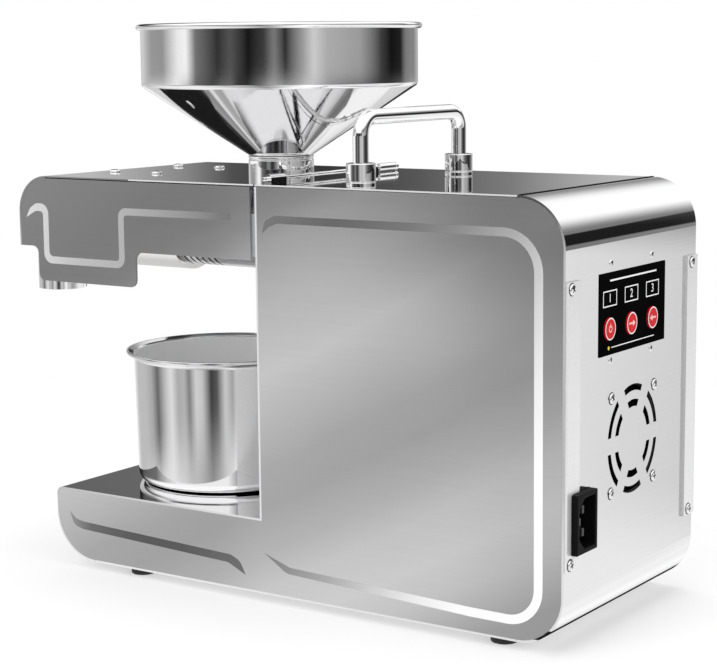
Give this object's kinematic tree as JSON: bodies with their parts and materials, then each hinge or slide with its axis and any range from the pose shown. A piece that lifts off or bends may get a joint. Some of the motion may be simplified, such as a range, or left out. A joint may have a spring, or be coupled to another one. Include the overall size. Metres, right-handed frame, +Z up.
{
  "type": "screw oil press",
  "caption": "Bench-top screw oil press: stainless body with hopper, horizontal heated barrel, residue elbow, oil cup on a base, carrying handle and push-button rear end.",
  "frame": {"origin": "on the floor, under the middle of the whole press's bounding box", "axes": "+X towards the rear end with buttons, fan and mains inlet; -X towards the nose and the residue elbow; +Z up; -Y is the side that the picture shows"},
  "size_m": [0.4214, 0.1644, 0.3185],
  "materials": {
    "brushed_plate": "satin stainless sheet with a frosted stripe",
    "polished_sheet": "polished stainless sheet",
    "mirror_sheet": "mirror-polished stainless sheet",
    "galvanised_steel": "plain zinc-plated steel",
    "chrome_fasteners": "bright plated screws",
    "chrome": "bright polished",
    "barrel_steel": "machined stainless steel",
    "heater_sheath": "rolled steel sheath",
    "gloss_black": "glossy printed panel",
    "circuit_board": "fibreglass board with parts",
    "brass_pillars": "turned brass",
    "red_plastic": "glossy red plastic",
    "black_plastic": "moulded black plastic",
    "cast_alloy": "as cast",
    "gear_steel": "cut and ground steel",
    "motor_paint": "black paint",
    "magnet_iron": "sintered magnets",
    "rubber_feet": "moulded rubber"
  },
  "bodies": {
    "housing": {"arm_brackets": "galvanised_steel", "arm_cover": "mirror_sheet", "arm_left_plate": "brushed_plate", "arm_right_plate": "brushed_plate", "arm_screws": "chrome_fasteners", "barrel_bolts": "chrome_fasteners", "barrel_hanger": "galvanised_steel", "board_pillars": "brass_pillars", "body_top_plate": "mirror_sheet", "carry_handle": "chrome", "control_board": "circuit_board", "control_panel": "gloss_black", "corner_rails": "galvanised_steel", "corner_screws": "chrome_fasteners", "fan_frame": "black_plastic", "fan_screws": "chrome_fasteners", "floor_pan": "polished_sheet", "foot_screws": "chrome_fasteners", "front_wall": "polished_sheet", "gear_case": "cast_alloy", "gear_case_lid": "cast_alloy", "handle_collars": "chrome", "handle_nuts": "chrome_fasteners", "heater_band": "heater_sheath", "heater_bolt": "chrome_fasteners", "hopper_collar": "chrome", "idler_pin": "gear_steel", "inlet_pins": "brass_pillars", "left_side_plate": "brushed_plate", "lock_rod_guides": "chrome", "motor_can": "motor_paint", "motor_end_plates": "cast_alloy", "motor_magnets": "magnet_iron", "output_bearings": "gear_steel", "panel_studs": "chrome_fasteners", "platform_cover": "mirror_sheet", "power_board": "circuit_board", "power_inlet": "black_plastic", "press_barrel": "barrel_steel", "rear_edge_strips": "polished_sheet", "rear_wrap": "polished_sheet", "residue_elbow": "chrome", "right_side_plate": "brushed_plate", "rubber_feet": "rubber_feet", "thrust_washer": "brass_pillars"},
    "drive": {"output_shaft": "gear_steel", "output_wheel": "gear_steel", "press_screw": "barrel_steel"},
    "idler": {"idler_gear": "gear_steel"},
    "motor_rotor": {"motor_armature": "gear_steel", "motor_pinion": "gear_steel"},
    "fan": {"fan_rotor": "black_plastic"},
    "hopper_body": {"hopper": "polished_sheet"},
    "cup": {"oil_cup": "polished_sheet"},
    "heat_key": {"heat_button": "red_plastic"},
    "press_key": {"press_button": "red_plastic"},
    "clear_key": {"clear_button": "red_plastic"},
    "lock": {"lock_rod": "chrome"},
    "nut": {"nose_nut": "chrome"}
  },
  "joints": [
    {"name": "motor_spin", "type": "hinge", "parent": "housing", "child": "motor_rotor", "pos_m": [0.1087, 0, 0.124], "axis": [-1, 0, 0], "continuous": true},
    {"name": "idler_spin", "type": "hinge", "parent": "housing", "child": "idler", "pos_m": [0.0447, 0, 0.16], "axis": [-1, 0, 0], "continuous": true},
    {"name": "screw_spin", "type": "hinge", "parent": "housing", "child": "drive", "pos_m": [0.0047, 0, 0.196], "axis": [-1, 0, 0], "continuous": true},
    {"name": "fan_spin", "type": "hinge", "parent": "housing", "child": "fan", "pos_m": [0.1977, 0, 0.1], "axis": [1, 0, 0], "continuous": true},
    {"name": "hopper_lift", "type": "slide", "parent": "housing", "child": "hopper_body", "axis": [0, 0, 1], "range_m": [0, 0.05]},
    {"name": "cup_slide", "type": "slide", "parent": "housing", "child": "cup", "axis": [0, -1, 0], "range_m": [0, 0.16]},
    {"name": "heat_press", "type": "slide", "parent": "housing", "child": "heat_key", "axis": [-1, 0, 0], "range_m": [0, 0.0008], "stiffness_N_per_m": 400, "springref_m": -0.0005},
    {"name": "press_press", "type": "slide", "parent": "housing", "child": "press_key", "axis": [-1, 0, 0], "range_m": [0, 0.0008], "stiffness_N_per_m": 400, "springref_m": -0.0005},
    {"name": "clear_press", "type": "slide", "parent": "housing", "child": "clear_key", "axis": [-1, 0, 0], "range_m": [0, 0.0008], "stiffness_N_per_m": 400, "springref_m": -0.0005},
    {"name": "lock_rod_draw", "type": "slide", "parent": "housing", "child": "lock", "axis": [0, 1, 0], "range_m": [0, 0.04]},
    {"name": "nose_nut_turn", "type": "hinge", "parent": "housing", "child": "nut", "pos_m": [-0.1633, 0, 0.196], "axis": [-1, 0, 0], "range_deg": [-180, 0]}
  ],
  "couplings": [
    {"joint": "idler_spin", "follows": "motor_spin", "ratio": -0.25},
    {"joint": "screw_spin", "follows": "motor_spin", "ratio": 0.0625}
  ]
}
